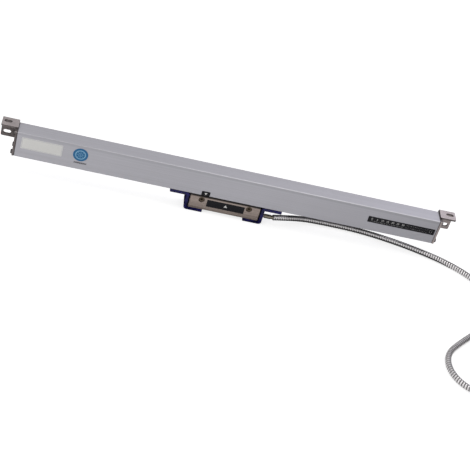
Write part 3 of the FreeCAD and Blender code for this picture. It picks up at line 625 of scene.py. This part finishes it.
hoseFinish = {
    "scratch": (1500.0, 3.0, 0.6),
    "patch": (70.0, 2.0),
    "blend": (0.6, 0.4),             # shares of the two in the colour
    "spread": (0.3, 0.7),
    "strip": ((208, 205, 206), (238, 235, 236)),
    "underShade": (84, 80, 81),
    "underShadeShare": 0.2,
    "darkReflection": (12, 11, 12),
    "darkReflectionShare": 0.97,
    "seamGrimeAndShade": (22, 20, 21),
    "seams": (0.3, 0.3, 0.9),        # grime in every seam: share, and the depth in the groove, from and to
    "lowSeams": (0.58, 0.03, 0.3),   # painted shade added to the seams below, the same way
    "rough": (0.24, 0.15, 0.3, 0.25),    # even, and what scratches, grime and painted shade in the seams, and the painted dark reflection add
    "metallic": (0.95, 0.4, 0.5),    # even, and what grime and painted shade in the seams, and the painted dark reflection take
    "bump": (0.00002, 0.3),
}


def hoseSteel(f):
    # wound strip: bright crown, grime in the seams between the turns, painted shade below, a painted dark
    # reflection along the back
    paint = Paint("hoseSteel")
    seam, under, back = (paint.node("Attribute", {"attribute_name": name}, {}, "Fac")
                         for name in ("groove", "under", "back"))
    scratch, patch = paint.noise(*f["scratch"]), paint.noise(*f["patch"])
    blend = f["blend"][0] * scratch + f["blend"][1] * patch
    steel = paint.between(paint.ramp(blend, *f["spread"]), *f["strip"])
    share, start, end = f["seams"]
    lowShare, lowStart, lowEnd = f["lowSeams"]
    seamGrimeAndShade = share * paint.ramp(seam, start, end) + lowShare * under * paint.ramp(seam, lowStart, lowEnd)
    # painted shade below the hose, on the strip and in its seams
    colour = paint.mix(f["underShadeShare"] * under, steel, tone(*f["underShade"]))
    colour = paint.mix(f["darkReflectionShare"] * back, colour, tone(*f["darkReflection"]))
    colour = paint.mix(seamGrimeAndShade, colour, tone(*f["seamGrimeAndShade"]))
    rough, scratched, seamRough, stripeRough = f["rough"]
    metal, seamMetal, stripeMetal = f["metallic"]
    return paint.finish(colour, rough + scratched * scratch + seamRough * seamGrimeAndShade + stripeRough * back,
                        metallic=metal - seamMetal * seamGrimeAndShade - stripeMetal * back,
                        normal=paint.bump(scratch, *f["bump"]))


finishes = {slot: plainFinish(**settings) for slot, settings in plainFinishes.items()}
finishes.update({
    "anodised": brushedAluminium(housingFinish),
    "plated_sheet": platedSheet(bracketFinish),
    "scale_glass": scaleGlass(glassFinish),
    "head_nickel": headNickel(headFinish),
    "circuit_board": circuitBoard(boardFinish),
    "clip_blue": navyCoat(clipFinish),
    "armoured_hose": hoseSteel(hoseFinish),
})
print(len(finishes), "finishes made")

for name, piece in nodes.items():
    piece.data.materials.clear()
    piece.data.materials.append(finishes[slotOf[name]])

# sharp rims of sheet and cast pieces get a small bevel, on a merged copy of the node's own mesh
softRims = {
    "left_bracket": ("leftBracket", 0.00028),
    "right_bracket": ("rightBracket", 0.00028),
    "left_clip": ("leftClip", 0.00032),
    "right_clip": ("rightClip", 0.00032),
    "head_block": ("headBlock", 0.00022),
    "plug_hood": ("plugHood", 0.0008),
    "plug_shell": ("plugShell", 0.00012),
}
rimBevel = {
    "angle": 28,             # degrees from which a rim is bevelled, and shaded sharp
    "segments": 2,
    "merge": 0.000002,
    "flat": 2,               # degrees up to which two faces become one
}


def softenRims(node, name, width, rim):
    bm = bmesh.new()
    bm.from_mesh(nodes[node].data)
    bmesh.ops.remove_doubles(bm, verts=bm.verts, dist=rim["merge"])
    bmesh.ops.dissolve_limit(bm, angle_limit=math.radians(rim["flat"]), verts=bm.verts, edges=bm.edges)
    piece = newPiece(name, meshFrom(bm, name), nodes[node]["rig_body"], finishes[slotOf[node]],
                     rim["angle"])
    bevel = piece.modifiers.new("rims", "BEVEL")
    bevel.width = width
    bevel.segments = rim["segments"]
    bevel.limit_method = "ANGLE"
    bevel.angle_limit = math.radians(rim["angle"])
    bevel.harden_normals = True
    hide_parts(node)
    return piece


softened = {node: softenRims(node, name, width, rimBevel) for node, (name, width) in softRims.items()}
print(len(softened), "pieces softened")

hosePiece, hosePath = makeHose(finishes["armoured_hose"])

# prints on the labels, raised a little from the film
printDepth = 0.00003


def labelFace(node):
    # middle of a label's face, the plane of the face, and its half size
    low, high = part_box(node)
    return ((low[0] + high[0]) / 2, (low[2] + high[2]) / 2, low[1],
            (high[0] - low[0]) / 2, (high[2] - low[2]) / 2)


def standing(x, z, y):
    # takes what lies flat round the origin to an upright place on a face
    return Matrix.Translation((x, y, z)) @ Matrix.Rotation(math.pi / 2, 4, "X")


def raiseFaces(bm, faces):
    # lifts flat faces off the film by the print's depth
    grown = bmesh.ops.extrude_face_region(bm, geom=faces)["geom"]
    corners = [v for v in grown if isinstance(v, bmesh.types.BMVert)]
    bmesh.ops.translate(bm, verts=corners, vec=(0, -printDepth, 0))


def bar(bm, x, z, width, height, y):
    size = Matrix.Diagonal((width, printDepth, height, 1))
    bmesh.ops.create_cube(bm, size=1, matrix=Matrix.Translation((x, y, z)) @ size)


def words(bm, text, size, x, z, y):
    curve = bpy.data.curves.new("words", "FONT")
    curve.body = text
    curve.size = size
    curve.align_x = "CENTER"
    curve.align_y = "CENTER"
    curve.extrude = printDepth / 2
    curve.resolution_u = 3
    made = bpy.data.objects.new("words", curve)
    bpy.context.collection.objects.link(made)
    mesh = bpy.data.meshes.new_from_object(made.evaluated_get(bpy.context.evaluated_depsgraph_get()))
    mesh.transform(standing(x, z, y))
    bm.from_mesh(mesh)
    bpy.data.objects.remove(made)


def arrow(bm, x, z, radius, y, up):
    turn = Matrix.Rotation(0 if up else math.pi, 4, "Z")
    made = bmesh.ops.create_circle(bm, cap_ends=True, radius=radius, segments=3,
                                   matrix=standing(x, z, y) @ turn)["verts"]
    raiseFaces(bm, made[0].link_faces[:])


def ring(bm, x, z, inner, outer, y, sides):
    edges = []
    for radius in (inner, outer):
        verts = bmesh.ops.create_circle(bm, radius=radius, segments=sides, matrix=standing(x, z, y))["verts"]
        edges += list({e for v in verts for e in v.link_edges})
    raiseFaces(bm, bmesh.ops.bridge_loops(bm, edges=edges)["faces"])


def printPiece(name, bm, body, slot, material=None):
    bmesh.ops.recalc_face_normals(bm, faces=bm.faces)
    return newPiece(name, meshFrom(bm, name), body, material or finishes[slot])


rulerPrint = {
    "numbers": ("0", "5", "10", "15", "20", "25", "30"),
    "numberSize": 0.0030,
    "numberRise": 0.0009,
    "start": 0.0042,         # from the label's left end
    "step": 0.0056,          # between numbers
    "ticksPerStep": 5,
    "tick": (0.00016, 0.0007),
    "longTick": 0.0012,
    "tickDrop": 0.0014,      # below the middle
    "rules": (-0.0015, 0.0015),          # two hairlines on the right half
    "ruleThick": 0.00005,
    "ruleEnds": (0.041, 0.0648),
    "square": (0.0684, 0.0026, 0.00007),     # its middle from the left end, its side and its line
}


def printRuler(p):
    x, z, y, halfX = labelFace("ruler_label")[:4]
    left = x - halfX
    bm = bmesh.new()
    for i, number in enumerate(p["numbers"]):
        words(bm, number, p["numberSize"], left + p["start"] + i * p["step"], z + p["numberRise"], y)
    for i in range((len(p["numbers"]) - 1) * p["ticksPerStep"] + 1):
        tall = p["longTick"] if i % p["ticksPerStep"] == 0 else p["tick"][1]
        along = left + p["start"] + i * p["step"] / p["ticksPerStep"]
        bar(bm, along, z - p["tickDrop"] - tall / 2, p["tick"][0], tall, y)
    first, last = p["ruleEnds"]
    for rise in p["rules"]:
        bar(bm, left + (first + last) / 2, z + rise, last - first, p["ruleThick"], y)
    middle, side, line = p["square"]
    for s in (-1, 1):
        bar(bm, left + middle, z + s * side / 2, side, line, y)
        bar(bm, left + middle + s * side / 2, z, line, side, y)
    return printPiece("rulerPrint", bm, "housing_body", "label_white")


framePrint = {"inset": 0.0008, "line": 0.0003}


def printFrame(p):
    x, z, y, halfX, halfZ = labelFace("type_label")
    wide, tall = halfX - p["inset"], halfZ - p["inset"]
    bm = bmesh.new()
    for s in (-1, 1):
        bar(bm, x, z + s * tall, 2 * wide, p["line"], y)
        bar(bm, x + s * wide, z, p["line"], 2 * tall, y)
    return printPiece("typeLabelFrame", bm, "housing_body", "anodised")


roundPrint = {
    "rings": ((0.0044, 0.0054, 56), (0.0017, 0.0021, 56), (0.0002, 0.0006, 24)),     # radii and sides
    "spokes": 8,
    "spoke": (0.0006, 0.0007),
    "ink": {"name": "paleInk", "grain": (1100.0, 4.0, 0.6), "tones": ((126, 178, 212), (146, 194, 222)),
            "rough": (0.42, 0.2), "bump": (0.00005, 0.35)},
}


def printRound(p):
    x, z, y = labelFace("round_label")[:3]
    bm = bmesh.new()
    for inner, outer, sides in p["rings"]:
        ring(bm, x, z, inner, outer, y, sides)
    for i in range(p["spokes"]):
        turn = Matrix.Rotation(2 * math.pi * i / p["spokes"], 4, "Y")
        size = Matrix.Diagonal((p["spoke"][0], printDepth, p["spoke"][1], 1))
        out = Matrix.Translation((0, 0, (p["rings"][1][1] + p["rings"][0][0]) / 2))
        bmesh.ops.create_cube(bm, size=1, matrix=Matrix.Translation((x, y, z)) @ turn @ out @ size)
    return printPiece("roundLabelPrint", bm, "housing_body", "label_blue", plainFinish(**p["ink"]))


arrows = {
    "housing": {"node": "position_marker", "name": "markerArrow", "body": "housing_body",
                "radius": 0.0018, "up": False},
    "head": {"node": "head_label", "name": "headArrow", "body": "head_body",
             "radius": 0.0022, "up": True},
}


def printArrow(a):
    x, z, y = labelFace(a["node"])[:3]
    bm = bmesh.new()
    arrow(bm, x, z, a["radius"], y, a["up"])
    return printPiece(a["name"], bm, a["body"], "label_white")


tickRow = {"below": 0.0099, "right": 0.001, "count": 14, "pitch": 0.00092, "tick": (0.0006, 0.0019)}


def printTicks(p):
    # a short row of plain ticks below the round label
    x, z = labelFace("round_label")[:2]
    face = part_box("housing")[0][1]
    bm = bmesh.new()
    for i in range(p["count"]):
        bar(bm, x + p["right"] + (i - (p["count"] - 1) / 2) * p["pitch"], z - p["below"], *p["tick"], face)
    return printPiece("tickRow", bm, "housing_body", "label_black")


printTicks(tickRow)
printRuler(rulerPrint)
printFrame(framePrint)
printRound(roundPrint)
for a in arrows.values():
    printArrow(a)
print("labels printed")

# stage: a pale floor, two soft lamps and an even sky
stage = {
    "floor": -0.0358,
    "size": 12.0,
    "floorTones": ((0.55, 0.55, 0.55, 1), (0.57, 0.57, 0.57, 1)),
    "floorGrain": 40.0,
    "floorGlow": 0.74,       # seen by the camera, and by metal and glass
    "skyLight": 0.36,
    "lamps": (
        {"name": "keyLamp", "place": (0.3, 0.0, 1.5), "aim": (0, 0, 0), "size": 0.9, "power": 6.0,
         "colour": (1, 0.99, 0.98)},
        {"name": "rimLamp", "place": (0.9, 0.8, 1.0), "aim": (0.05, 0, 0), "size": 1.0, "power": 4.0,
         "colour": (0.86, 0.84, 1)},
        {"name": "fillLamp", "place": (-0.75, -0.65, 0.42), "aim": (-0.22, 0, 0), "size": 0.6, "power": 4.2,
         "colour": (1, 1, 1)},
    ),
    "cards": (               # dark cards seen only in reflections: centre, width, height, turn about X and Z
        ("backCard", (0.1, 0.62, 0.06), 2.6, 0.26, (90, 0)),
        ("tableCard", (0.1, 0.29, -0.0357), 2.6, 0.64, (0, 0)),
        ("leftCard", (-0.8, -0.1, 0.28), 1.6, 0.6, (90, 90)),
    ),
    "cardColour": (0.03, 0.03, 0.035, 1),
}


def reflectedRays(tree):
    # 1 where a ray comes from the camera or from a mirror-like or clear surface
    rays = tree.nodes.new("ShaderNodeLightPath").outputs
    seen = rays["Is Camera Ray"]
    for name in ("Is Glossy Ray", "Is Transmission Ray"):
        either = tree.nodes.new("ShaderNodeMath")
        either.operation = "MAXIMUM"
        tree.links.new(seen, either.inputs[0])
        tree.links.new(rays[name], either.inputs[1])
        seen = either.outputs[0]
    return seen


def makeFloor(s):
    paint = Paint("paleFloor")
    rays = Wire(paint, reflectedRays(paint.tree))
    matt = paint.node("BsdfDiffuse", {}, {"Color": paint.mix(paint.noise(s["floorGrain"]), *s["floorTones"])})
    glow = paint.node("Emission", {}, {"Color": (1, 1, 1, 1), "Strength": s["floorGlow"] * rays})
    paint.output(paint.node("AddShader", {}, {0: matt, 1: glow}))
    bm = bmesh.new()
    bmesh.ops.create_grid(bm, x_segments=1, y_segments=1, size=s["size"] / 2,
                          matrix=Matrix.Translation((0, 0, s["floor"])))
    floor = bpy.data.objects.new("floor", meshFrom(bm, "floor"))
    floor.data.materials.append(paint.material)
    bpy.context.collection.objects.link(floor)


def makeSky(s):
    world = bpy.data.worlds.new("sky")
    bpy.context.scene.world = world
    world.use_nodes = True
    tree = world.node_tree
    tree.nodes.clear()
    seen = reflectedRays(tree)
    level = tree.nodes.new("ShaderNodeMapRange")
    level.inputs["To Min"].default_value = s["skyLight"]
    tree.links.new(seen, level.inputs["Value"])
    back = tree.nodes.new("ShaderNodeBackground")
    tree.links.new(level.outputs[0], back.inputs["Strength"])
    out = tree.nodes.new("ShaderNodeOutputWorld")
    tree.links.new(back.outputs[0], out.inputs["Surface"])


def makeLamp(lamp):
    data = bpy.data.lights.new(lamp["name"], "AREA")
    data.size = lamp["size"]
    data.energy = lamp["power"]
    data.color = lamp["colour"]
    made = bpy.data.objects.new(lamp["name"], data)
    made.location = lamp["place"]
    made.rotation_euler = (Vector(lamp["aim"]) - Vector(lamp["place"])).to_track_quat("-Z", "Y").to_euler()
    bpy.context.collection.objects.link(made)


def makeCard(name, place, width, height, turns):
    tip, swing = (math.radians(turn) for turn in turns)
    bm = bmesh.new()
    bmesh.ops.create_grid(bm, x_segments=1, y_segments=1, size=0.5,
                          matrix=Matrix.Translation(place) @ Matrix.Rotation(swing, 4, "Z")
                          @ Matrix.Rotation(tip, 4, "X") @ Matrix.Diagonal((width, height, 1, 1)))
    card = bpy.data.objects.new(name, meshFrom(bm, name))
    paint = Paint(name)
    paint.output(paint.node("BsdfDiffuse", {}, {"Color": stage["cardColour"]}))
    card.data.materials.append(paint.material)
    bpy.context.collection.objects.link(card)
    card.visible_camera = False
    card.visible_diffuse = False
    card.visible_shadow = False


makeFloor(stage)
makeSky(stage)
for card in stage["cards"]:
    makeCard(*card)
for lamp in stage["lamps"]:
    makeLamp(lamp)
bpy.context.scene.view_settings.view_transform = "Standard"
print("stage set")
